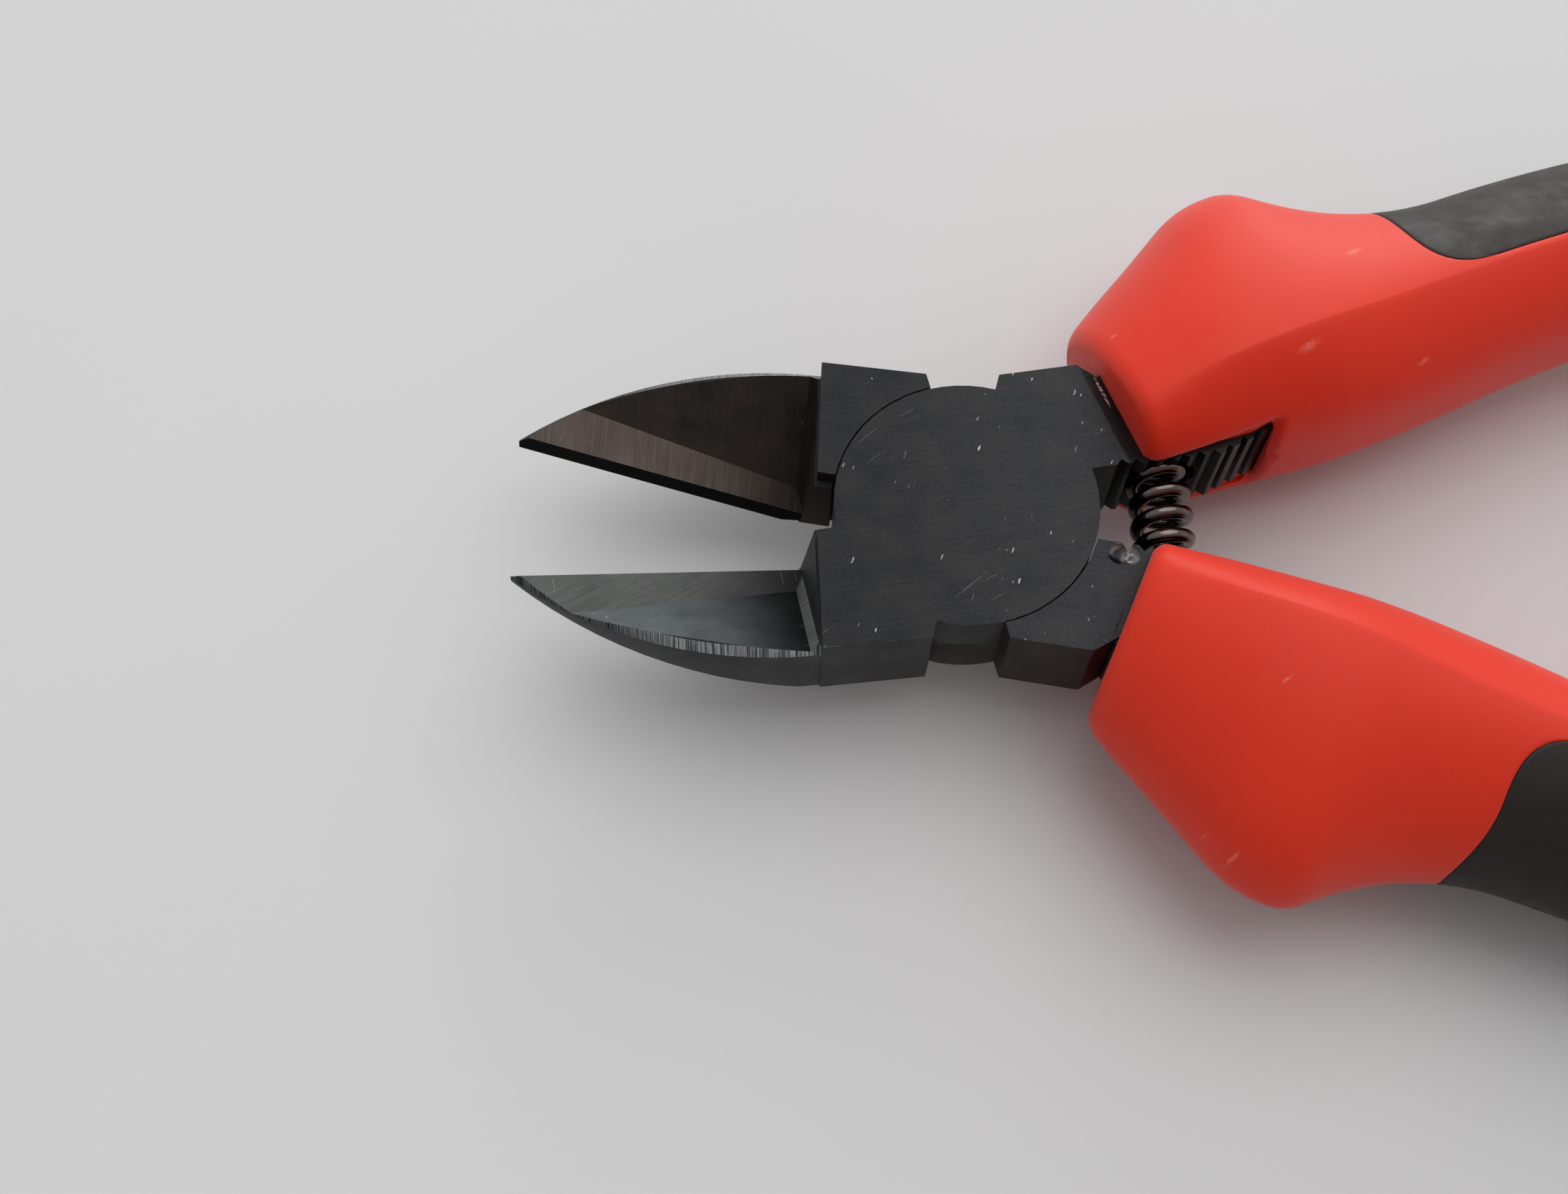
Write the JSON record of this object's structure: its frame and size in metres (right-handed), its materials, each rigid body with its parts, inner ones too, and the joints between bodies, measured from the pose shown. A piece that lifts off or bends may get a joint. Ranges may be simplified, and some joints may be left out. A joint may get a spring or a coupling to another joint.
{
  "type": "cutting pliers",
  "caption": "Flush-cutting diagonal pliers for plastic: crossed steel jaws in a lap joint, sprung open, with two-component sleeves on the handles.",
  "frame": {"origin": "on the pivot axis, at the back face of the head", "axes": "+X from the pivot to the handles, +Y across the handles towards the front lever's handle, +Z along the pivot towards the front face"},
  "size_m": [0.1594, 0.0814, 0.0206],
  "materials": {
    "black_steel": "black oxide, satin",
    "spring_steel": "drawn wire, oiled",
    "red_plastic": "moulded, semi-matt",
    "grey_rubber": "moulded, fine grain"
  },
  "bodies": {
    "back_half": {"back_lever": "black_steel", "pivot_rivet": "black_steel", "back_sleeve": "red_plastic", "back_grip_insert": "grey_rubber", "return_spring": "spring_steel"},
    "front_half": {"front_lever": "black_steel", "front_sleeve": "red_plastic", "front_grip_insert": "grey_rubber"}
  },
  "joints": [
    {"name": "jaw_hinge", "type": "hinge", "parent": "back_half", "child": "front_half", "pos_m": [0, 0, 0.004], "axis": [0, 0, -1], "range_deg": [0, 18], "stiffness_Nm_per_rad": 2, "springref_deg": -5.73, "deforming": ["return_spring"]}
  ]
}
